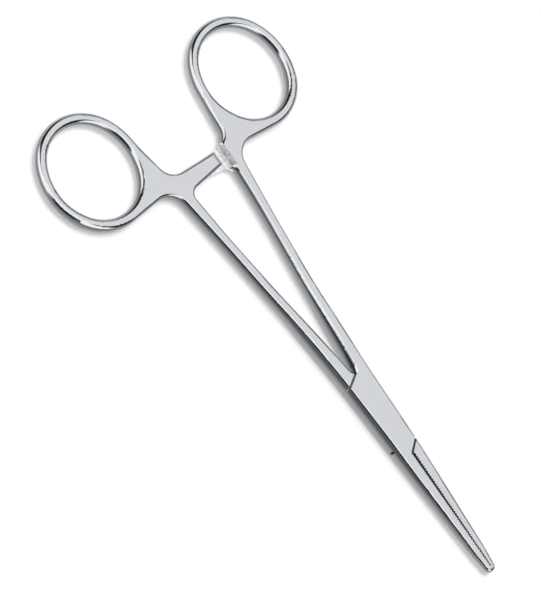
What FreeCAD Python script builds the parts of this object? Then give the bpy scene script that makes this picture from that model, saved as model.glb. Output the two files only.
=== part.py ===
import FreeCAD, Part
import math
import os

# Straight hemostat forceps with a box lock, closed, lying on one face.
# +X runs to the jaw tip, +Y to the finger ring of the box half, +Z up.
# The origin is on the pivot axis, on the flat underside of the box.

# Overall lengths from the pivot
TIP_REACH = 44.1
RING_CENTRE_BACK = 83.6
RING_CENTRE_OUT = 24.2

# Finger ring: a slightly turned four-arc oval hole in a slim band
RING_HOLE_LONG = 23.6
RING_HOLE_NARROWING = 2.3
RING_END_TIGHTENING = 0.45
RING_BAND = 2.75
RING_TURN = 1.0

# Thickness of the blank along its length
BOX_THICKNESS = 4.8
HANDLE_THICKNESS = 3.3
RING_THICKNESS = 2.4
TIP_LAND = 0.1
HANDLE_TAPER_BACK = 42.0
BOX_FLAT_BACK = 17.0
BOX_FLAT_FRONT = 3.0
JAW_TAPER_SHOULDER = 9.0

# Shank edges, as distances from the pivot line
NECK_CORNER_PAST_HOLE = 1.6
NECK_CORNER_OUT = 10.45
NECK_ROUND = 4.8
SHANK_OUTER_MID_BACK = 52.0
SHANK_OUTER_MID_OUT = 8.0
SHANK_OUTER_FORE_BACK = 30.0
SHANK_OUTER_FORE_OUT = 5.5
SHANK_INNER_REAR_OUT = 6.8
SHANK_INNER_MID_BACK = 54.0
SHANK_INNER_MID_OUT = 5.7
SHANK_INNER_FORE_BACK = 34.0
SHANK_INNER_FORE_OUT = 3.2
SHANK_BEND = 220.0
CROTCH_PAST_PLATE = 1.6
CROTCH_OUT = 0.7
CROTCH_ROUND = 1.2

# Box and jaw edges
PLATE_REACH_FRONT = 10.7
PLATE_REACH_REAR = 11.1
PLATE_SLANT_FRONT = 37.0
PLATE_SLANT_REAR = 29.0
BOX_REAR_PAST_PLATE = 0.9
BOX_REAR_HALF = 4.05
JAW_ROOT_PAST_PLATE = 3.3
JAW_ROOT_HALF = 3.1
NOSE_LENGTH = 5.5
NOSE_START_HALF = 1.85
NOSE_END_HALF = 1.25
NOSE_END_FLAT = 0.1
NOSE_BEND = 10.0
EDGE_ROUND = 0.75
RING_EDGE_ROUND = 1.1

# Box lock: a tongue between two plates, on a flush pin
TONGUE_THICKNESS = 1.6
TONGUE_REACH = 9.3
SLOT_CLEARANCE = 0.08
SLOT_END_CLEARANCE = 0.12
SHOULDER_GAP = 0.55
PIN_DIAMETER = 2.6
PIN_FIT = 0.01
PIN_RUNNING_CLEARANCE = 0.05
AXIS_CLEARANCE = 0.04

# Jaw serrations
SERRATION_PITCH = 0.7
SERRATION_DEPTH = 0.25
JAW_GAP_ROOT = 0.55
JAW_GAP_TIP = 0.05
SERRATION_TIP_MARGIN = 1.2

# Ratchet bars, one on each half, crossing one above the other
BAR_ROOT_BEHIND_HOLE = 0.6
BAR_ROOT_OUT = 9.3
BAR_LEAN = 0.4
BAR_WIDTH = 3.5
BAR_FLARE = 1.3
BAR_OVERREACH = 4.3
BAR_INNER_ROUND = 2.3
BAR_OUTER_ROUND = 4.2
BAR_BEVEL_RUN = 0.8
BAR_BEVEL_DROP = 0.15
RECESS_OUT = 7.6
RECESS_PAST_BAR = 0.4
RATCHET_MARGIN = 0.6
RATCHET_PITCH = 1.25
RATCHET_DEPTH = 0.35
RATCHET_TEETH = 6
RATCHET_CLEARANCE = 0.1

V = FreeCAD.Vector
RING_HOLE_WIDE = RING_HOLE_LONG - RING_HOLE_NARROWING
HOLE_FRONT_BACK = RING_CENTRE_BACK - RING_HOLE_LONG / 2
NECK_CORNER_BACK = HOLE_FRONT_BACK - NECK_CORNER_PAST_HOLE
BAR_ROOT_BACK = HOLE_FRONT_BACK + BAR_ROOT_BEHIND_HOLE
BOX_REAR_BACK = PLATE_REACH_REAR + BOX_REAR_PAST_PLATE
JAW_ROOT_FORE = PLATE_REACH_FRONT + JAW_ROOT_PAST_PLATE
CROTCH_BACK = PLATE_REACH_REAR + CROTCH_PAST_PLATE
TIP_THICKNESS = 2 * EDGE_ROUND + TIP_LAND
MID_HEIGHT = BOX_THICKNESS / 2
UP = V(0, 0, 1)
ABOVE_ALL = 2 * BOX_THICKNESS
TOUCHING = 0.001


def flat(point, height=0.0):
    return V(point[0], point[1], height)


def rounded_corner(before, corner, after, radius):
    """Start, middle and end of the arc that rounds one corner."""
    back = (before - corner).normalize()
    on = (after - corner).normalize()
    half = back.getAngle(on) / 2
    reach = radius / math.tan(half)
    inward = (back + on).normalize()
    centre = corner + inward * (radius / math.sin(half))
    return corner + back * reach, centre - inward * radius, corner + on * reach


def rounded_path(points):
    """Straight runs joined by tangent arcs; each point is (x, y, radius)."""
    corners = [flat(point) for point in points]
    edges = []
    start = corners[0]
    for index in range(1, len(points) - 1):
        radius = points[index][2]
        end = corners[index]
        if radius > 0:
            before, after = corners[index - 1], corners[index + 1]
            end, middle, leave = rounded_corner(before, corners[index], after, radius)
            edges.append(Part.LineSegment(start, end).toShape())
            edges.append(Part.Arc(end, middle, leave).toShape())
            start = leave
        else:
            edges.append(Part.LineSegment(start, end).toShape())
            start = end
    edges.append(Part.LineSegment(start, corners[-1]).toShape())
    return edges


def polar(degrees):
    return V(math.cos(math.radians(degrees)), math.sin(math.radians(degrees)), 0)


def ring_arcs(band):
    """Centre, radius, start and end angle of the ring's four arcs, grown by a band."""
    half_long = RING_HOLE_LONG / 2
    half_wide = RING_HOLE_WIDE / 2
    end = half_wide - RING_END_TIGHTENING
    flank = ((half_long - end) ** 2 + half_wide ** 2 - end ** 2) / (2 * (half_wide - end))
    joint = math.degrees(math.atan2(flank - half_wide, half_long - end))
    centre = V(-RING_CENTRE_BACK, RING_CENTRE_OUT, 0)
    arcs = []
    for quarter in range(4):
        facing = RING_TURN + 90 * quarter
        half_axis, radius, reach = ((half_long, end, joint), (half_wide, flank, 90 - joint))[quarter % 2]
        arc_centre = centre + polar(facing) * (half_axis - radius)
        arcs.append([arc_centre, radius + band, facing - reach, facing + reach])
    return arcs


def arc_edge(centre, radius, start, end):
    circle = Part.Circle(centre, UP, radius)
    return Part.ArcOfCircle(circle, math.radians(start), math.radians(end)).toShape()


def touch_angle(corner, centre, radius, side):
    """Where on a circle a straight edge from the corner touches it."""
    away = corner - centre
    facing = math.degrees(math.atan2(away.y, away.x))
    return facing + side * math.degrees(math.acos(radius / away.Length))


def plate_reach(side):
    """Length of a plate from the pivot along the axis: front for 1, rear for -1."""
    return PLATE_REACH_FRONT if side > 0 else PLATE_REACH_REAR


def plate_slant(side):
    """How far a plate's end falls back for each mm across: front for 1, rear for -1."""
    return math.tan(math.radians(PLATE_SLANT_FRONT if side > 0 else PLATE_SLANT_REAR))


def plate_corner(side):
    """Where a plate's slanted end meets the box's outer edge: front for 1, rear for -1."""
    slant = plate_slant(side)
    narrowing = (JAW_ROOT_HALF - BOX_REAR_HALF) / (JAW_ROOT_FORE + BOX_REAR_BACK)
    half_at_end = BOX_REAR_HALF + narrowing * (BOX_REAR_BACK + side * plate_reach(side))
    half = half_at_end / (1 + side * narrowing * slant)
    return side * (plate_reach(side) - half * slant), side * half


def half_outline():
    """Plan of the box half: rounded stretches, crisp stretches and the finger hole."""
    neck = V(-NECK_CORNER_BACK, NECK_CORNER_OUT, 0)
    web = V(-BAR_ROOT_BACK, BAR_ROOT_OUT, 0)
    arcs = ring_arcs(RING_BAND)
    nose = arcs[0]
    flank = arcs[3]
    nose[2] = touch_angle(neck, nose[0], nose[1], 1)
    flank[3] = touch_angle(web, flank[0], flank[1], -1) + 360
    ring = [arc_edge(*arc) for arc in arcs]
    neck_point = ring[0].valueAt(ring[0].FirstParameter)
    web_point = ring[3].valueAt(ring[3].LastParameter)

    front_corner = (*plate_corner(1), 0)
    rear_corner = (*plate_corner(-1), 0)
    crotch = (-PLATE_REACH_REAR, AXIS_CLEARANCE / 2)
    bar_left_end = (-BAR_ROOT_BACK + BAR_LEAN, -BAR_OVERREACH)
    bar_right_end = (bar_left_end[0] + BAR_WIDTH, -BAR_OVERREACH)
    gap_root = JAW_GAP_ROOT / 2
    jaw_root = (PLATE_REACH_FRONT + gap_root * plate_slant(1), -gap_root)
    tip_inner = (TIP_REACH, -JAW_GAP_TIP / 2)

    bar_left = rounded_path([
        (web_point.x, web_point.y, 0),
        (web.x, web.y, BAR_OUTER_ROUND),
        (*bar_left_end, 0),
    ])
    bar_end = rounded_path([(*bar_left_end, 0), (*bar_right_end, 0)])
    inner = rounded_path([
        (*bar_right_end, 0),
        (bar_right_end[0] + BAR_FLARE, SHANK_INNER_REAR_OUT, BAR_INNER_ROUND),
        (-SHANK_INNER_MID_BACK, SHANK_INNER_MID_OUT, SHANK_BEND),
        (-SHANK_INNER_FORE_BACK, SHANK_INNER_FORE_OUT, SHANK_BEND),
        (-CROTCH_BACK, CROTCH_OUT, CROTCH_ROUND),
        (*crotch, 0),
    ])
    rear_end = rounded_path([(*crotch, 0), rear_corner])
    jaw_outer = rounded_path([
        rear_corner,
        (JAW_ROOT_FORE, -JAW_ROOT_HALF, SHANK_BEND),
        (TIP_REACH - NOSE_LENGTH, -NOSE_START_HALF, NOSE_BEND),
        (TIP_REACH, -NOSE_END_HALF, NOSE_END_HALF - NOSE_END_FLAT),
        (*tip_inner, 0),
    ])
    jaw_face = rounded_path([(*tip_inner, 0), (*jaw_root, 0), front_corner])
    outer = rounded_path([
        front_corner,
        (-BOX_REAR_BACK, BOX_REAR_HALF, SHANK_BEND),
        (-SHANK_OUTER_FORE_BACK, SHANK_OUTER_FORE_OUT, SHANK_BEND),
        (-SHANK_OUTER_MID_BACK, SHANK_OUTER_MID_OUT, SHANK_BEND),
        (neck.x, neck.y, NECK_ROUND),
        (neck_point.x, neck_point.y, 0),
    ])
    hole = [arc_edge(*arc) for arc in ring_arcs(0)]
    soft = ring + bar_left + inner + jaw_outer + outer
    crisp = bar_end + rear_end + jaw_face
    return soft, crisp, hole


def side_profile():
    """The blank seen from the side, thick at the box and tapering both ways."""
    back = -RING_CENTRE_BACK - RING_HOLE_LONG
    front = TIP_REACH + BOX_THICKNESS

    def edge_line(sign):
        handle = MID_HEIGHT + sign * HANDLE_THICKNESS / 2
        ring = MID_HEIGHT + sign * RING_THICKNESS / 2
        box = MID_HEIGHT + sign * BOX_THICKNESS / 2
        tip = MID_HEIGHT + sign * TIP_THICKNESS / 2
        slope = (tip - box) / (TIP_REACH - JAW_TAPER_SHOULDER)
        end = box + slope * (front - JAW_TAPER_SHOULDER)
        taper_mid = -(HANDLE_TAPER_BACK + BOX_FLAT_BACK) / 2
        ring_mid = -(RING_CENTRE_BACK + BAR_ROOT_BACK) / 2
        thinning = Part.BezierCurve()
        thinning.setPoles([V(-RING_CENTRE_BACK, 0, ring), V(ring_mid, 0, ring),
                           V(ring_mid, 0, handle), V(-BAR_ROOT_BACK, 0, handle)])
        rear = Part.BezierCurve()
        rear.setPoles([V(-HANDLE_TAPER_BACK, 0, handle), V(taper_mid, 0, handle),
                       V(taper_mid, 0, box), V(-BOX_FLAT_BACK, 0, box)])
        fore = Part.BezierCurve()
        fore.setPoles([V(BOX_FLAT_FRONT, 0, box), V(JAW_TAPER_SHOULDER, 0, box), V(front, 0, end)])
        return [
            Part.LineSegment(V(back, 0, ring), V(-RING_CENTRE_BACK, 0, ring)).toShape(),
            thinning.toShape(),
            Part.LineSegment(V(-BAR_ROOT_BACK, 0, handle), V(-HANDLE_TAPER_BACK, 0, handle)).toShape(),
            rear.toShape(),
            Part.LineSegment(V(-BOX_FLAT_BACK, 0, box), V(BOX_FLAT_FRONT, 0, box)).toShape(),
            fore.toShape(),
        ], V(back, 0, ring), V(front, 0, end)

    top, top_back, top_front = edge_line(1)
    bottom, bottom_back, bottom_front = edge_line(-1)
    ends = [
        Part.LineSegment(top_back, bottom_back).toShape(),
        Part.LineSegment(top_front, bottom_front).toShape(),
    ]
    wire = Part.Wire(Part.__sortEdges__(top + bottom + ends))
    width = 2 * (RING_CENTRE_OUT + RING_HOLE_WIDE)
    profile = Part.Face(wire)
    profile.translate(V(0, -width / 2, 0))
    return profile.extrude(V(0, width, 0))


def edge_radius(point, on_hole):
    """Rounding of a long edge at a point: fuller round the finger ring than along the shank."""
    beyond_ring_centre = point.x < -RING_CENTRE_BACK or point.y > RING_CENTRE_OUT
    return RING_EDGE_ROUND if on_hole or beyond_ring_centre else EDGE_ROUND


def on_outline(edge, outline):
    """True if the edge runs above or below the plan outline."""
    middle = edge.valueAt((edge.FirstParameter + edge.LastParameter) / 2)
    return Part.Vertex(V(middle.x, middle.y, 0)).distToShape(outline)[0] < TOUCHING


def is_upright(edge):
    """True for a corner edge that runs from face to face."""
    start, end = (vertex.Point for vertex in (edge.Vertexes[0], edge.Vertexes[-1]))
    return flat(start).distanceToPoint(flat(end)) < TOUCHING < abs(start.z - end.z)


def rounded_edges(body, radii):
    """The body with its edges rounded; radii are (edge number, start radius, end radius)."""
    document = FreeCAD.newDocument("rounding")
    sharp = document.addObject("Part::Feature", "sharp")
    sharp.Shape = body
    fillet = document.addObject("Part::Fillet", "fillet")
    fillet.Base = sharp
    fillet.Edges = radii
    document.recompute()
    rounded = fillet.Shape.copy()
    FreeCAD.closeDocument(document.Name)
    return rounded


def blank():
    """The forged blank of the box half, with its long edges rounded."""
    soft, crisp, hole = half_outline()
    outline = Part.Wire(Part.__sortEdges__(soft + crisp))
    hole_wire = Part.Wire(hole)
    plan = Part.Face(outline).cut(Part.Face(hole_wire))
    body = plan.extrude(V(0, 0, ABOVE_ALL)).common(side_profile())
    soft_edges = Part.Compound(soft)
    radii = []
    for number, edge in enumerate(body.Edges, 1):
        on_hole = on_outline(edge, hole_wire)
        if not is_upright(edge) and (on_hole or on_outline(edge, soft_edges)):
            ends = [edge_radius(vertex.Point, on_hole) for vertex in (edge.Vertexes[0], edge.Vertexes[-1])]
            radii.append((number, *ends))
    return rounded_edges(body, radii)


def turned_over(shape):
    """The same shape turned half round the long axis at mid height."""
    turned = shape.copy()
    turned.rotate(V(0, 0, MID_HEIGHT), V(1, 0, 0), 180)
    return turned


def slab(low, high):
    """A block between two opposite corners."""
    return Part.makeBox(high[0] - low[0], high[1] - low[1], high[2] - low[2], V(*low))


def disc(radius, low, high):
    return Part.makeCylinder(radius, high - low, V(0, 0, low))


def past_axis(clearance, low, high):
    """Rear quarter below the axis and front quarter above it, where the tongue joins its half."""
    side = 2 * BOX_REAR_HALF
    rear = slab((-PLATE_REACH_REAR - SHOULDER_GAP, -side, low), (0, clearance, high))
    front = slab((0, -clearance, low), (PLATE_REACH_FRONT + SHOULDER_GAP, side, high))
    return rear.fuse(front)


def mortise():
    """The slot through the box half that takes the tongue."""
    half = TONGUE_THICKNESS / 2 + SLOT_CLEARANCE
    low = MID_HEIGHT - half
    high = MID_HEIGHT + half
    return disc(TONGUE_REACH + SLOT_END_CLEARANCE, low, high).fuse(past_axis(AXIS_CLEARANCE / 2, low, high))


def shoulder(side, half_width):
    """Two points of the shoulder line that faces a plate's end: front for 1, rear for -1."""
    slant = plate_slant(side)
    fore = side * (plate_reach(side) + SHOULDER_GAP * math.hypot(1, slant))
    return [(fore - half_width * slant, half_width), (fore + half_width * slant, -half_width)]


def tongue_waste():
    """What is milled off the tongue half to leave its tongue."""
    low = MID_HEIGHT - TONGUE_THICKNESS / 2
    high = MID_HEIGHT + TONGUE_THICKNESS / 2
    side = 2 * BOX_REAR_HALF
    corners = shoulder(-1, side) + shoulder(1, -side)
    plate_room = Part.Face(Part.makePolygon([flat(corner) for corner in corners + corners[:1]]))
    above = plate_room.copy()
    above.translate(V(0, 0, high))
    over = above.extrude(V(0, 0, BOX_THICKNESS))
    under = plate_room.extrude(V(0, 0, low))
    rear_reach = PLATE_REACH_REAR + SHOULDER_GAP
    layer = slab((-rear_reach, -side, low), (PLATE_REACH_FRONT + SHOULDER_GAP, side, high))
    ends = layer.cut(disc(TONGUE_REACH, low, high)).cut(past_axis(-AXIS_CLEARANCE / 2, low, high))
    return [over, under, ends]


def prism(points, start, run):
    """A prism with its outline in the plane across the long axis."""
    corners = [V(start, y, z) for y, z in points]
    return Part.Face(Part.makePolygon(corners + corners[:1])).extrude(V(run, 0, 0))


def bar_reach():
    """Length along the forceps that the ratchet bar takes, from its rear root corner."""
    return BAR_LEAN + BAR_WIDTH + BAR_FLARE


def ratchet_recess():
    """What is milled off the box half's ratchet bar, leaving its teeth."""
    tip = MID_HEIGHT - RATCHET_CLEARANCE / 2
    root = tip - RATCHET_DEPTH
    first = -BAR_OVERREACH + RATCHET_MARGIN
    points = [(RECESS_OUT, ABOVE_ALL), (-2 * BAR_OVERREACH, ABOVE_ALL), (-2 * BAR_OVERREACH, root)]
    for tooth in range(RATCHET_TEETH):
        foot = first + tooth * RATCHET_PITCH
        points += [(foot, root), (foot + RATCHET_PITCH, tip)]
    points += [(first + RATCHET_TEETH * RATCHET_PITCH, root), (RECESS_OUT, root)]
    return prism(points, -BAR_ROOT_BACK - BAR_OUTER_ROUND, BAR_OUTER_ROUND + bar_reach() + RECESS_PAST_BAR)


def bar_bevel():
    """The bevel across the outer face of the ratchet bar's end."""
    face = MID_HEIGHT - HANDLE_THICKNESS / 2
    points = [(-BAR_OVERREACH - BAR_BEVEL_RUN, face - BAR_BEVEL_DROP),
              (-BAR_OVERREACH + 2 * BAR_BEVEL_RUN, face - BAR_BEVEL_DROP),
              (-BAR_OVERREACH - BAR_BEVEL_RUN, face + 2 * BAR_BEVEL_DROP)]
    return prism(points, -BAR_ROOT_BACK, bar_reach())


def serrations(lead):
    """Grooves across the box half's jaw face; the lead shifts them along the jaw."""
    root_out = -JAW_GAP_ROOT / 2
    slope = (JAW_GAP_ROOT - JAW_GAP_TIP) / 2 / (TIP_REACH - PLATE_REACH_FRONT)
    start = PLATE_REACH_FRONT + SERRATION_PITCH / 2 + lead
    count = int((TIP_REACH - SERRATION_TIP_MARGIN - start) / SERRATION_PITCH)

    def face_out(fore):
        return root_out + slope * (fore - PLATE_REACH_FRONT)

    points = [(start, JAW_GAP_ROOT)]
    for groove in range(count):
        near = start + groove * SERRATION_PITCH
        middle = near + SERRATION_PITCH / 2
        points += [(near, face_out(near)), (middle, face_out(middle) - SERRATION_DEPTH)]
    last = start + count * SERRATION_PITCH
    points += [(last, face_out(last)), (last, JAW_GAP_ROOT)]
    comb = Part.Face(Part.makePolygon([flat(point) for point in points + points[:1]]))
    return comb.extrude(V(0, 0, ABOVE_ALL))


def box_half():
    """The half with the slotted box, the ring at +Y and the jaw at -Y."""
    pin_bore = disc(PIN_DIAMETER / 2 + PIN_FIT, -BOX_THICKNESS, ABOVE_ALL)
    return blank().cut([mortise(), pin_bore, ratchet_recess(), bar_bevel(), serrations(0)])


def tongue_half():
    """The half with the tongue, the ring at -Y and the jaw at +Y."""
    pin_bore = disc(PIN_DIAMETER / 2 + PIN_RUNNING_CLEARANCE, -BOX_THICKNESS, ABOVE_ALL)
    bar_cuts = [turned_over(ratchet_recess()), turned_over(bar_bevel())]
    jaw_cuts = [turned_over(serrations(SERRATION_PITCH / 2))]
    return turned_over(blank()).cut(tongue_waste() + [pin_bore] + bar_cuts + jaw_cuts)


def pivot_pin():
    """The pin through the box, riveted and ground flush with both faces."""
    return disc(PIN_DIAMETER / 2, 0, BOX_THICKNESS)


if __name__ == "__main__":
    os.makedirs("parts", exist_ok=True)
    pieces = {"box_half": box_half(), "tongue_half": tongue_half(), "pivot_pin": pivot_pin()}
    for name, piece in pieces.items():
        print(name, "solids", len(piece.Solids), "valid", piece.isValid(), "volume", round(piece.Volume, 1))
        solid = piece.Solids[0]
        solid.exportStep(f"parts/{name}.step")
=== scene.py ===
"""Straight hemostat forceps with a box lock, closed, in satin and buffed stainless steel.

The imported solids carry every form. This script gives them their finish, sets a white
studio round them and puts the camera where the photograph was taken from.
"""

import logging
import math
from collections.abc import Sequence
from dataclasses import dataclass, field
from enum import Enum
from typing import Any

import bpy
from mathutils import Matrix, Vector


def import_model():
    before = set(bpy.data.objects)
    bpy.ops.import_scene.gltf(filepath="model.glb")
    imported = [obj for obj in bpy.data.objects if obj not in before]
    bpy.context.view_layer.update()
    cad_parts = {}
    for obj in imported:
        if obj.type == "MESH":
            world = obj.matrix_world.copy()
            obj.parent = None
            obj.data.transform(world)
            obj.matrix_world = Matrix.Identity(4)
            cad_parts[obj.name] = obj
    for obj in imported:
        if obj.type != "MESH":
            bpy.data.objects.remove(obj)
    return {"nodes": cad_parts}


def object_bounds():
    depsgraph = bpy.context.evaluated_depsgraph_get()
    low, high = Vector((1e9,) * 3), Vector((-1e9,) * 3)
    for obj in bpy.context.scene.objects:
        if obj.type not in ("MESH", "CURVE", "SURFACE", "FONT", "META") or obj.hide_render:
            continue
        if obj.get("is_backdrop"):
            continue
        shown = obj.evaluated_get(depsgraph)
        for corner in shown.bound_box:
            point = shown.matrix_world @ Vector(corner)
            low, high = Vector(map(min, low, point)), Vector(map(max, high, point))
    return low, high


MM = 0.001
LOG = logging.getLogger("hemostat")

# Sockets of a Mix node by number, because its number and colour sockets share their names.
FACTOR = 0
NUMBER_A, NUMBER_B, NUMBER_OUT = 2, 3, 0
COLOUR_A, COLOUR_B, COLOUR_OUT = 6, 7, 2


class Slot(Enum):
    """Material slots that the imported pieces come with."""

    FORGING = "forged_steel"
    PIN = "pin_steel"


def linear_colour(code: str) -> tuple[float, float, float, float]:
    """Turn an sRGB hex colour into Blender's linear colour.

    Args:
        code: the colour as #RRGGBB.

    Returns:
        Red, green, blue and alpha, linear.
    """
    parts = [int(code[i:i + 2], 16) / 255 for i in (1, 3, 5)]
    linear = [p / 12.92 if p <= 0.04045 else ((p + 0.055) / 1.055) ** 2.4 for p in parts]
    return (linear[0], linear[1], linear[2], 1.0)


def add_node(tree: bpy.types.NodeTree, kind: str, links: dict[Any, Any] | None = None,
             values: dict[Any, Any] | None = None, **settings: Any) -> bpy.types.Node:
    """Add one node with its settings, its constants and its incoming links.

    Args:
        tree: the node tree to add to.
        kind: the node's type name.
        links: input socket to the output socket that feeds it.
        values: input socket to its constant.
        settings: the node's own properties.

    Returns:
        The new node.
    """
    node = tree.nodes.new(kind)
    for name, setting in settings.items():
        setattr(node, name, setting)
    for socket, value in (values or {}).items():
        node.inputs[socket].default_value = value
    for socket, source in (links or {}).items():
        tree.links.new(source, node.inputs[socket])
    return node


def set_stops(node: bpy.types.Node, stops: Sequence[tuple[float, str]]) -> None:
    """Give a colour ramp its stops.

    Args:
        node: the ramp's node.
        stops: position from 0 to 1 and hex colour of each stop.
    """
    ramp = node.color_ramp
    while len(ramp.elements) < len(stops):
        ramp.elements.new(0.5)
    for element, (position, colour) in zip(ramp.elements, stops):
        element.position = position
        element.color = linear_colour(colour)


@dataclass(frozen=True)
class MilledRecess:
    """The recess in each ratchet bar, blotched with the cutter's marks and painted paler than the steel, as
    painted light.

    Each band is a middle and a reach to both sides of it, in millimetres.

    Attributes:
        along: band of the recesses along the forceps.
        across: band of the recesses across the forceps.
        bars_meet: height of the plane at which the two bars meet.
        floor: band of the recess floors, from that plane into the bar's own thickness.
        step: band of the steps at the recesses' outer ends, from the centre line.
        step_height: band of the steps in height.
        blotch: size of a cutter's mark, in millimetres.
        blotch_detail: how often a mark breaks up into finer ones.
        blotch_range: noise levels of the darkest and of the palest mark.
        dark: colour of the darkest mark.
        pale: colour of the palest mark. The marks run paler than the steel's own colour, as painted light.
        roughness: how far the marks spread a reflection.
    """

    along: tuple[float, float] = (-71.0, 5.2)
    across: tuple[float, float] = (0.0, 7.7)
    bars_meet: float = 2.4
    floor: tuple[float, float] = (-0.35, 0.4)
    step: tuple[float, float] = (7.6, 0.05)
    step_height: tuple[float, float] = (2.4, 1.6)
    blotch: float = 0.7
    blotch_detail: float = 3.0
    blotch_range: tuple[float, float] = (0.35, 0.65)
    # Painted light: the marks run paler than the steel's own colour, which lifts the recess floors and the
    # steps at their ends out of their shade.
    dark: str = "#CCCED0"
    pale: str = "#FFFFFF"
    roughness: float = 0.33

    def find(self, tree: bpy.types.NodeTree, spot: bpy.types.Node) -> bpy.types.NodeSocket:
        """Tell the milled faces from all others.

        Args:
            tree: the node tree to add to.
            spot: the node with X, Y and Z on the forceps.

        Returns:
            1 on the milled faces and 0 elsewhere.
        """
        raised = add_node(tree, "ShaderNodeMath", {0: spot.outputs["Z"]}, {1: self.bars_meet * MM},
                          operation="SUBTRACT")
        # The lower bar belongs to the half at +Y and the upper one to the half at -Y.
        half = add_node(tree, "ShaderNodeMath", {0: spot.outputs["Y"]}, operation="SIGN")
        sunk = add_node(tree, "ShaderNodeMath", {0: raised.outputs[0], 1: half.outputs[0]},
                        operation="MULTIPLY")
        out = add_node(tree, "ShaderNodeMath", {0: spot.outputs["Y"]}, operation="ABSOLUTE")
        measured = ((spot.outputs["X"], self.along), (spot.outputs["Y"], self.across),
                    (sunk.outputs[0], self.floor), (out.outputs[0], self.step),
                    (spot.outputs["Z"], self.step_height))
        bands = [add_node(tree, "ShaderNodeMath", {0: place}, {1: middle * MM, 2: reach * MM},
                          operation="COMPARE") for place, (middle, reach) in measured]
        along, across, floor, step, height = (band.outputs[0] for band in bands)
        wall = add_node(tree, "ShaderNodeMath", {0: step, 1: height}, operation="MULTIPLY")
        face = add_node(tree, "ShaderNodeMath", {0: floor, 1: wall.outputs[0]}, operation="MAXIMUM")
        area = add_node(tree, "ShaderNodeMath", {0: along, 1: across}, operation="MULTIPLY")
        milled = add_node(tree, "ShaderNodeMath", {0: area.outputs[0], 1: face.outputs[0]},
                          operation="MULTIPLY")
        return milled.outputs[0]

    def draw(self, tree: bpy.types.NodeTree, place: bpy.types.NodeSocket) -> bpy.types.NodeSocket:
        """Draw the cutter's marks, in colours that run paler than the steel, as painted light.

        Args:
            tree: the node tree to add to.
            place: the place on the forceps.

        Returns:
            The colour of the marks.
        """
        noise = add_node(tree, "ShaderNodeTexNoise", {"Vector": place},
                         {"Scale": 1 / (self.blotch * MM), "Detail": self.blotch_detail})
        darkest, palest = self.blotch_range
        share = add_node(tree, "ShaderNodeMapRange", {"Value": noise.outputs["Fac"]},
                         {"From Min": darkest, "From Max": palest})
        marks = add_node(tree, "ShaderNodeMix", {FACTOR: share.outputs[0]},
                         {COLOUR_A: linear_colour(self.dark), COLOUR_B: linear_colour(self.pale)},
                         data_type="RGBA")
        return marks.outputs[COLOUR_OUT]
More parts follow.
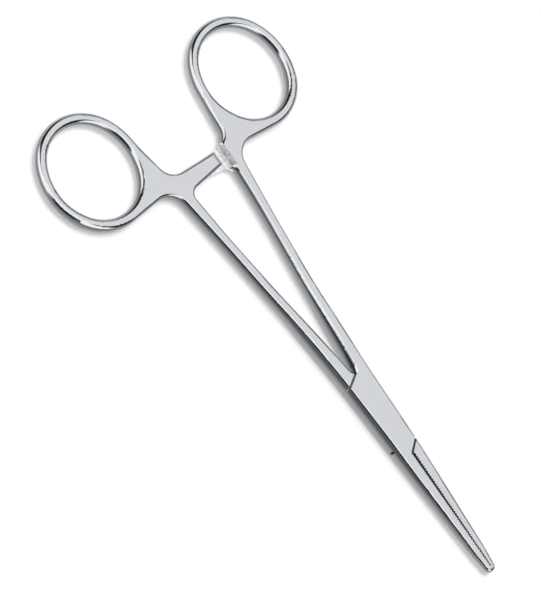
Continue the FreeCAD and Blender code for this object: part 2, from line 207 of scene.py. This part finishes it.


# The satin flats give the eye an even pale grey. The buffed edges and rings mirror the studio
# in thin white and black lines. The side walls carry painted shade that darkens towards the flat
# above them. The milled recesses are blotched where the cutter's marks scatter the light, and are
# painted paler than the steel, as painted light.
@dataclass(frozen=True)
class ForgedStainlessSteel:
    """Forged stainless steel, ground satin on its flats and buffed on its edges and rings, with painted shade
    on its side walls and painted light in its milled recesses.

    How level a face is, from 0 on a wall to 1 on a flat, tells its finish.

    Attributes:
        name: the material's name.
        colour: the steel's own colour.
        sides: height in millimetres and colour of each stop of the painted shade up the side walls, which
            darkens towards the flat above them.
        body_height: height of the forceps in millimetres.
        wall_level: levels below which a face is all wall, with its painted shade, and above which it is none.
        flat_level: levels below which a face is all buffed, and above which it is all satin.
        buffed_roughness: roughness of the edges and rings.
        satin_roughness: roughness of the flats.
        grain_roughness: what the grain's peaks add to either.
        buffed_metallic: metallic of the edges and rings.
        satin_metallic: metallic of the flats, lowered so that their grey holds from all sides.
        grain_width: width of the belt's scratches in millimetres.
        grain_length: length of the belt's scratches in millimetres.
        grain_detail: how often a scratch breaks up into finer ones.
        grain_relief: how much of the scratches' depth shows.
        grain_depth: depth of the scratches in millimetres.
        recess: the milled recesses of the ratchet.
    """

    name: str = "satin_and_buffed_steel_with_painted_shade_and_light"
    colour: str = "#D3D5D8"
    # Painted shade: these stops colour the side walls darker from the floor up towards the flat above them.
    sides: tuple[tuple[float, str], ...] = ((0.9, "#B4B6B8"), (2.8, "#828486"), (3.7, "#4A4C4E"))
    body_height: float = 4.8
    wall_level: tuple[float, float] = (0.45, 0.7)
    flat_level: tuple[float, float] = (0.97, 0.998)
    buffed_roughness: float = 0.12
    satin_roughness: float = 0.27
    grain_roughness: float = 0.06
    buffed_metallic: float = 1.0
    satin_metallic: float = 0.5
    # A fine belt's scratches are narrower than this. They are drawn as wide as they need to show.
    grain_width: float = 0.12
    grain_length: float = 2.5
    grain_detail: float = 2.0
    grain_relief: float = 0.05
    grain_depth: float = 0.01
    recess: MilledRecess = field(default_factory=MilledRecess)

    def build(self) -> bpy.types.Material:
        """Make the material.

        Returns:
            The steel, for the forgings and the pin alike.
        """
        material = bpy.data.materials.new(self.name)
        material.use_nodes = True
        tree = material.node_tree
        tree.nodes.clear()
        place = add_node(tree, "ShaderNodeTexCoord")
        spot = add_node(tree, "ShaderNodeSeparateXYZ", {0: place.outputs["Object"]})
        facing = add_node(tree, "ShaderNodeSeparateXYZ", {0: place.outputs["Normal"]})
        level = add_node(tree, "ShaderNodeMath", {0: facing.outputs["Z"]}, operation="ABSOLUTE")
        grain = self.draw_grain(tree, place.outputs["Object"])
        milled = self.recess.find(tree, spot)
        marks = self.recess.draw(tree, place.outputs["Object"])
        # The steel's own colour, with painted shade on the side walls.
        steel_and_painted_shade = self.draw_steel_and_painted_shade(tree, spot, level.outputs[0])
        own_roughness = self.draw_roughness(tree, grain, level.outputs[0])
        # The milled faces take the marks' colour, paler than the steel, as painted light.
        colour = add_node(tree, "ShaderNodeMix", {FACTOR: milled, COLOUR_A: steel_and_painted_shade, COLOUR_B: marks},
                          data_type="RGBA")
        roughness = add_node(tree, "ShaderNodeMix", {FACTOR: milled, NUMBER_A: own_roughness},
                             {NUMBER_B: self.recess.roughness})
        buffed, satin = self.flat_level
        metallic = add_node(tree, "ShaderNodeMapRange", {"Value": level.outputs[0]},
                            {"From Min": buffed, "From Max": satin,
                             "To Min": self.buffed_metallic, "To Max": self.satin_metallic})
        relief = add_node(tree, "ShaderNodeBump", {"Height": grain},
                          {"Strength": self.grain_relief, "Distance": self.grain_depth * MM})
        steel = add_node(tree, "ShaderNodeBsdfPrincipled",
                         {"Base Color": colour.outputs[COLOUR_OUT],
                          "Roughness": roughness.outputs[NUMBER_OUT],
                          "Metallic": metallic.outputs[0], "Normal": relief.outputs[0]})
        add_node(tree, "ShaderNodeOutputMaterial", {"Surface": steel.outputs[0]})
        return material

    def draw_grain(self, tree: bpy.types.NodeTree, place: bpy.types.NodeSocket) -> bpy.types.NodeSocket:
        """Draw the belt's scratches, which run along the forceps.

        Args:
            tree: the node tree to add to.
            place: the place on the forceps.

        Returns:
            The height of the grain, from 0 to 1.
        """
        along, across = (1 / (size * MM) for size in (self.grain_length, self.grain_width))
        stretched = add_node(tree, "ShaderNodeMapping", {"Vector": place}, {"Scale": (along, across, across)})
        grain = add_node(tree, "ShaderNodeTexNoise", {"Vector": stretched.outputs[0]},
                         {"Scale": 1.0, "Detail": self.grain_detail})
        return grain.outputs["Fac"]

    def draw_roughness(self, tree: bpy.types.NodeTree, grain: bpy.types.NodeSocket,
                       level: bpy.types.NodeSocket) -> bpy.types.NodeSocket:
        """Give the flats and the edges their roughness, both wavering with the grain.

        Args:
            tree: the node tree to add to.
            grain: the height of the grain.
            level: how level the face is.

        Returns:
            The roughness.
        """
        buffed, satin = self.flat_level
        finish = add_node(tree, "ShaderNodeMapRange", {"Value": level},
                          {"From Min": buffed, "From Max": satin,
                           "To Min": self.buffed_roughness, "To Max": self.satin_roughness})
        waver = add_node(tree, "ShaderNodeMath", {0: grain}, {1: self.grain_roughness}, operation="MULTIPLY")
        roughness = add_node(tree, "ShaderNodeMath", {0: finish.outputs[0], 1: waver.outputs[0]},
                             operation="ADD")
        return roughness.outputs[0]

    def draw_steel_and_painted_shade(self, tree: bpy.types.NodeTree, spot: bpy.types.Node,
                    level: bpy.types.NodeSocket) -> bpy.types.NodeSocket:
        """Give the side walls a painted shade that darkens with height, and all other faces the steel's own
        colour.

        Args:
            tree: the node tree to add to.
            spot: the node with X, Y and Z on the forceps.
            level: how level the face is.

        Returns:
            The colour.
        """
        height = add_node(tree, "ShaderNodeMath", {0: spot.outputs["Z"]}, {1: self.body_height * MM},
                          operation="DIVIDE")
        # Painted shade: the walls run from pale grey near the floor to near black under the flat above them.
        walls = add_node(tree, "ShaderNodeValToRGB", {"Fac": height.outputs[0]})
        set_stops(walls, [(up / self.body_height, colour) for up, colour in self.sides])
        wall, none = self.wall_level
        share = add_node(tree, "ShaderNodeMapRange", {"Value": level}, {"From Min": wall, "From Max": none})
        colour = add_node(tree, "ShaderNodeMix", {FACTOR: share.outputs[0], COLOUR_A: walls.outputs[0]},
                          {COLOUR_B: linear_colour(self.colour)}, data_type="RGBA")
        return colour.outputs[COLOUR_OUT]


# The paper gives the eye an even white ground with a soft shadow close to the forceps.
@dataclass(frozen=True)
class StudioPaper:
    """White matt studio paper under the forceps.

    Attributes:
        name: the material's name.
        colour: the paper's colour.
        glow: share of the paper's own even white, for the camera and for reflections only.
    """

    name: str = "white_studio_paper"
    colour: str = "#FFFFFF"
    glow: float = 0.4

    def build(self) -> bpy.types.Material:
        """Make the material.

        Returns:
            The paper.
        """
        material = bpy.data.materials.new(self.name)
        material.use_nodes = True
        tree = material.node_tree
        tree.nodes.clear()
        white = linear_colour(self.colour)
        paper = add_node(tree, "ShaderNodeBsdfDiffuse", values={"Color": white})
        even_white = add_node(tree, "ShaderNodeEmission", values={"Color": white, "Strength": 1.0})
        ray = add_node(tree, "ShaderNodeLightPath")
        seen = add_node(tree, "ShaderNodeMath",
                        {0: ray.outputs["Is Camera Ray"], 1: ray.outputs["Is Glossy Ray"]},
                        operation="MAXIMUM")
        share = add_node(tree, "ShaderNodeMath", {0: seen.outputs[0]}, {1: self.glow}, operation="MULTIPLY")
        ground = add_node(tree, "ShaderNodeMixShader",
                          {0: share.outputs[0], 1: paper.outputs[0], 2: even_white.outputs[0]})
        add_node(tree, "ShaderNodeOutputMaterial", {"Surface": ground.outputs[0]})
        return material


@dataclass(frozen=True)
class PanelRing:
    """Light panels and dark gaps all round the forceps, behind a low pale wall.

    Attributes:
        panels: azimuth in degrees and colour of each stop round the horizon.
        wall: the low wall's colour.
        wall_top: elevations in degrees between which the wall gives way to the panels.
    """

    panels: tuple[tuple[float, str], ...] = (
        (-180, "#08090A"), (-172, "#08090A"), (-167, "#FFFFFF"), (-105, "#FFFFFF"), (-100, "#1A1C1E"),
        (-54, "#141618"), (-49, "#FFFFFF"), (-1, "#FFFFFF"), (5, "#08090A"), (34, "#141618"),
        (50, "#505458"), (90, "#505458"), (130, "#8C9094"), (148, "#141618"), (180, "#08090A"))
    wall: str = "#A8ACB0"
    wall_top: tuple[float, float] = (8.0, 20.0)

    def draw(self, tree: bpy.types.NodeTree, way: bpy.types.Node) -> bpy.types.NodeSocket:
        """Draw the ring.

        Args:
            tree: the node tree to add to.
            way: the node with X, Y and Z of the direction looked in.

        Returns:
            The ring's colour.
        """
        turn = add_node(tree, "ShaderNodeMath", {0: way.outputs["Y"], 1: way.outputs["X"]},
                        operation="ARCTAN2")
        share = add_node(tree, "ShaderNodeMapRange", {"Value": turn.outputs[0]},
                         {"From Min": -math.pi, "From Max": math.pi})
        panels = add_node(tree, "ShaderNodeValToRGB", {"Fac": share.outputs[0]})
        set_stops(panels, [((azimuth + 180) / 360, colour) for azimuth, colour in self.panels])
        low, high = (math.sin(math.radians(elevation)) for elevation in self.wall_top)
        raised = add_node(tree, "ShaderNodeMapRange", {"Value": way.outputs["Z"]},
                          {"From Min": low, "From Max": high}, interpolation_type="SMOOTHSTEP")
        ring = add_node(tree, "ShaderNodeMix", {FACTOR: raised.outputs[0], COLOUR_B: panels.outputs[0]},
                        {COLOUR_A: linear_colour(self.wall)}, data_type="RGBA")
        return ring.outputs[COLOUR_OUT]


@dataclass(frozen=True)
class Diffuser:
    """A round pale cloth that leans from overhead towards +Y, with a brighter rim.

    Attributes:
        cloth: colour of its middle.
        rim: colour of its rim.
        lean: angle from overhead to its middle, in degrees.
        reach: angle from its middle to its edge, in degrees.
        blur: angle over which the edge fades, in degrees.
        rim_from: share of the reach at which the rim begins.
        rim_full: share of the reach at which the rim has its full colour.
    """

    cloth: str = "#DCDCDC"
    rim: str = "#FFFFFF"
    lean: float = 28.0
    reach: float = 22.0
    blur: float = 5.0
    rim_from: float = 0.5
    rim_full: float = 0.8

    def draw(self, tree: bpy.types.NodeTree, direction: bpy.types.NodeSocket,
             behind: bpy.types.NodeSocket) -> bpy.types.NodeSocket:
        """Draw the diffuser in front of what is behind it.

        Args:
            tree: the node tree to add to.
            direction: the direction looked in.
            behind: the colour of what is behind the diffuser.

        Returns:
            The colour of both.
        """
        lean = math.radians(self.lean)
        towards = add_node(tree, "ShaderNodeVectorMath", {0: direction},
                           {1: (0, math.sin(lean), math.cos(lean))}, operation="DOT_PRODUCT")
        angles = ((self.reach + self.blur / 2, self.reach - self.blur / 2),
                  (self.rim_from * self.reach, self.rim_full * self.reach))
        inside, outward = (
            add_node(tree, "ShaderNodeMapRange", {"Value": towards.outputs["Value"]},
                     {"From Min": math.cos(math.radians(start)), "From Max": math.cos(math.radians(end))},
                     interpolation_type="SMOOTHSTEP").outputs[0]
            for start, end in angles)
        cloth = add_node(tree, "ShaderNodeMix", {FACTOR: outward},
                         {COLOUR_A: linear_colour(self.cloth), COLOUR_B: linear_colour(self.rim)},
                         data_type="RGBA")
        both = add_node(tree, "ShaderNodeMix",
                        {FACTOR: inside, COLOUR_A: behind, COLOUR_B: cloth.outputs[COLOUR_OUT]},
                        data_type="RGBA")
        return both.outputs[COLOUR_OUT]


@dataclass(frozen=True)
class RoofPanel:
    """A round white panel straight overhead.

    Attributes:
        colour: the panel's colour.
        edge: angles from overhead at which the panel begins and has its full colour, in degrees.
    """

    colour: str = "#FFFFFF"
    edge: tuple[float, float] = (18.0, 14.0)

    def draw(self, tree: bpy.types.NodeTree, way: bpy.types.Node,
             behind: bpy.types.NodeSocket) -> bpy.types.NodeSocket:
        """Draw the panel in front of what is behind it.

        Args:
            tree: the node tree to add to.
            way: the node with X, Y and Z of the direction looked in.
            behind: the colour of what is behind the panel.

        Returns:
            The colour of both.
        """
        start, full = (math.cos(math.radians(angle)) for angle in self.edge)
        inside = add_node(tree, "ShaderNodeMapRange", {"Value": way.outputs["Z"]},
                          {"From Min": start, "From Max": full}, interpolation_type="SMOOTHSTEP")
        both = add_node(tree, "ShaderNodeMix", {FACTOR: inside.outputs[0], COLOUR_A: behind},
                        {COLOUR_B: linear_colour(self.colour)}, data_type="RGBA")
        return both.outputs[COLOUR_OUT]


@dataclass(frozen=True)
class StudioSurround:
    """What the steel mirrors, and the overhead light that fills the shadows.

    The satin flats mirror the middle of the diffuser, an even grey. The buffed edges turn
    past its rim and mirror the roof and the ring: white where there is a panel, black where
    there is none. All matt surfaces get the fill instead.

    Attributes:
        ring: the panels round the horizon.
        diffuser: the leaning cloth.
        roof: the panel overhead.
        strength: level of all three in a reflection.
        fill: the fill's colour.
        fill_focus: power with which the fill falls off from overhead.
        fill_strength: level of the fill.
    """

    ring: PanelRing = field(default_factory=PanelRing)
    diffuser: Diffuser = field(default_factory=Diffuser)
    roof: RoofPanel = field(default_factory=RoofPanel)
    strength: float = 1.35
    fill: str = "#FFFFFF"
    fill_focus: float = 12.0
    fill_strength: float = 3.5

    def build(self) -> bpy.types.World:
        """Make the surround and hand it to the scene.

        Returns:
            The new world.
        """
        world = bpy.data.worlds.new("studio_surround")
        bpy.context.scene.world = world
        world.use_nodes = True
        tree = world.node_tree
        tree.nodes.clear()
        place = add_node(tree, "ShaderNodeTexCoord")
        way = add_node(tree, "ShaderNodeSeparateXYZ", {0: place.outputs["Generated"]})
        ring = self.ring.draw(tree, way)
        hung = self.diffuser.draw(tree, place.outputs["Generated"], ring)
        studio = self.roof.draw(tree, way, hung)
        mirrored = self.find_mirrored(tree)
        seen = add_node(tree, "ShaderNodeMix",
                        {FACTOR: mirrored, COLOUR_A: self.draw_fill(tree, way), COLOUR_B: studio},
                        data_type="RGBA")
        level = add_node(tree, "ShaderNodeMapRange", {"Value": mirrored},
                         {"To Min": self.fill_strength, "To Max": self.strength})
        surround = add_node(tree, "ShaderNodeBackground",
                            {"Color": seen.outputs[COLOUR_OUT], "Strength": level.outputs[0]})
        add_node(tree, "ShaderNodeOutputWorld", {"Surface": surround.outputs[0]})
        return world

    def find_mirrored(self, tree: bpy.types.NodeTree) -> bpy.types.NodeSocket:
        """Tell the rays that the steel mirrors from those that light matt surfaces.

        Args:
            tree: the node tree to add to.

        Returns:
            1 for a reflection and 0 for all else.
        """
        ray = add_node(tree, "ShaderNodeLightPath")
        # The depth counts matt bounces, so one half lies between none and the first.
        direct = add_node(tree, "ShaderNodeMath", {0: ray.outputs["Diffuse Depth"]}, {1: 0.5},
                          operation="LESS_THAN")
        mirrored = add_node(tree, "ShaderNodeMath", {0: ray.outputs["Is Glossy Ray"], 1: direct.outputs[0]},
                            operation="MULTIPLY")
        return mirrored.outputs[0]

    def draw_fill(self, tree: bpy.types.NodeTree, way: bpy.types.Node) -> bpy.types.NodeSocket:
        """Draw the overhead fill, which falls off to nothing at the horizon.

        Args:
            tree: the node tree to add to.
            way: the node with X, Y and Z of the direction looked in.

        Returns:
            The fill's colour.
        """
        above = add_node(tree, "ShaderNodeMath", {0: way.outputs["Z"]}, {1: self.fill_focus},
                         operation="POWER")
        fill = add_node(tree, "ShaderNodeMix", {FACTOR: above.outputs[0]},
                        {COLOUR_A: (0, 0, 0, 1), COLOUR_B: linear_colour(self.fill)}, data_type="RGBA")
        return fill.outputs[COLOUR_OUT]


@dataclass
class Forceps:
    """The two forged halves and the pin, which keep the solids' own shapes.

    Attributes:
        piece_names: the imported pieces.
        steel: the finish of all three, as the pin is ground flush with the forging round it.
    """

    piece_names: tuple[str, ...] = ("box_half", "tongue_half", "pivot_pin")
    steel: ForgedStainlessSteel = field(default_factory=ForgedStainlessSteel)

    def build(self, nodes: dict[str, bpy.types.Object]) -> None:
        """Dress every piece in its steel.

        Args:
            nodes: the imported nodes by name.
        """
        steel = self.steel.build()
        finishes = {Slot.FORGING: steel, Slot.PIN: steel}
        for name in self.piece_names:
            for holder in nodes[name].material_slots:
                # Blender puts a dot and a number after a name that is taken.
                slot = Slot(holder.material.name.split(".")[0])
                holder.material = finishes[slot]
                LOG.info("%s: %s dressed in %s", name, slot.value, holder.material.name)


@dataclass
class Studio:
    """White paper, the surround and a soft key from behind the finger rings.

    Attributes:
        floor_side: side of the paper in metres.
        key_level: the key's strength.
        key_spread: the angle that the key fills, in degrees.
        key_azimuth: the key's direction round the forceps, in degrees.
        key_elevation: the key's height over the horizon, in degrees.
        surround: what the steel mirrors.
        paper: the paper's finish.
    """

    floor_side: float = 6.0
    key_level: float = 1.6
    key_spread: float = 24.0
    key_azimuth: float = 130.0
    key_elevation: float = 84.0
    surround: StudioSurround = field(default_factory=StudioSurround)
    paper: StudioPaper = field(default_factory=StudioPaper)

    def build(self, floor_height: float) -> None:
        """Make the floor, the key and the surround.

        Args:
            floor_height: the height the forceps lies at, in metres.
        """
        bpy.ops.object.select_all(action="DESELECT")
        bpy.ops.mesh.primitive_plane_add(size=self.floor_side, location=(0, 0, floor_height))
        floor = bpy.context.object
        floor.name = "studio_floor"
        floor.data.materials.append(self.paper.build())
        floor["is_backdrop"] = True
        self.add_key()
        world = self.surround.build()
        LOG.info("%s, key and %s in place", floor.name, world.name)

    def add_key(self) -> None:
        """Hang the key, which throws the short soft shadow towards the camera."""
        azimuth = math.radians(self.key_azimuth)
        elevation = math.radians(self.key_elevation)
        way = Vector((math.cos(azimuth) * math.cos(elevation), math.sin(azimuth) * math.cos(elevation),
                      math.sin(elevation)))
        lamp = bpy.data.lights.new("key", "SUN")
        lamp.angle = math.radians(self.key_spread)
        lamp.energy = self.key_level
        holder = bpy.data.objects.new("key", lamp)
        holder.visible_glossy = False
        holder.rotation_euler = way.to_track_quat("Z", "Y").to_euler()
        bpy.context.scene.collection.objects.link(holder)


@dataclass
class PhotoCamera:
    """The photograph's camera: a long lens that looks down from the side of the tongue half's ring.

    Attributes:
        aim_mm: the point it looks at.
        azimuth: its turn from -Y towards +X, in degrees.
        elevation: its height over the horizon, in degrees.
        roll: its turn about its own axis, in degrees.
        distance_mm: its distance from the point it looks at.
        lens_mm: its focal length.
        sensor_mm: its sensor's width.
        sight_m: the farthest distance that it shows.
    """

    aim_mm: tuple[float, float, float] = (-36.56, -5.86, 2.4)
    azimuth: float = 1.07
    elevation: float = 59.08
    roll: float = 53.3
    distance_mm: float = 821.5
    lens_mm: float = 214.4
    sensor_mm: float = 36.0
    sight_m: float = 10.0

    def build(self) -> None:
        """Place the camera and make it the scene's own."""
        azimuth, elevation, roll = (math.radians(angle)
                                    for angle in (self.azimuth, self.elevation, self.roll))
        back = Vector((math.cos(elevation) * math.sin(azimuth), -math.cos(elevation) * math.cos(azimuth),
                       math.sin(elevation)))
        level = Vector((math.cos(azimuth), math.sin(azimuth), 0))
        rise = back.cross(level)
        right = level * math.cos(roll) + rise * math.sin(roll)
        up = rise * math.cos(roll) - level * math.sin(roll)
        camera = bpy.data.cameras.new("photo_camera")
        camera.lens = self.lens_mm
        camera.sensor_width = self.sensor_mm
        camera.clip_end = self.sight_m
        holder = bpy.data.objects.new("photo_camera", camera)
        place = Matrix((right, up, back)).transposed().to_4x4()
        place.translation = (Vector(self.aim_mm) + back * self.distance_mm) * MM
        holder.matrix_world = place
        bpy.context.scene.collection.objects.link(holder)
        bpy.context.scene.camera = holder
        LOG.info("%s in place", holder.name)


def main() -> None:
    """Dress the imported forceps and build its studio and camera."""
    logging.basicConfig(level=logging.INFO, format="%(name)s: %(message)s")
    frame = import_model()
    cad_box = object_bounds()
    nodes = frame["nodes"]
    PhotoCamera().build()
    Forceps().build(nodes)
    Studio().build(cad_box[0][2])
    bpy.context.scene.view_settings.view_transform = "Standard"


if __name__ == "__main__":
    main()
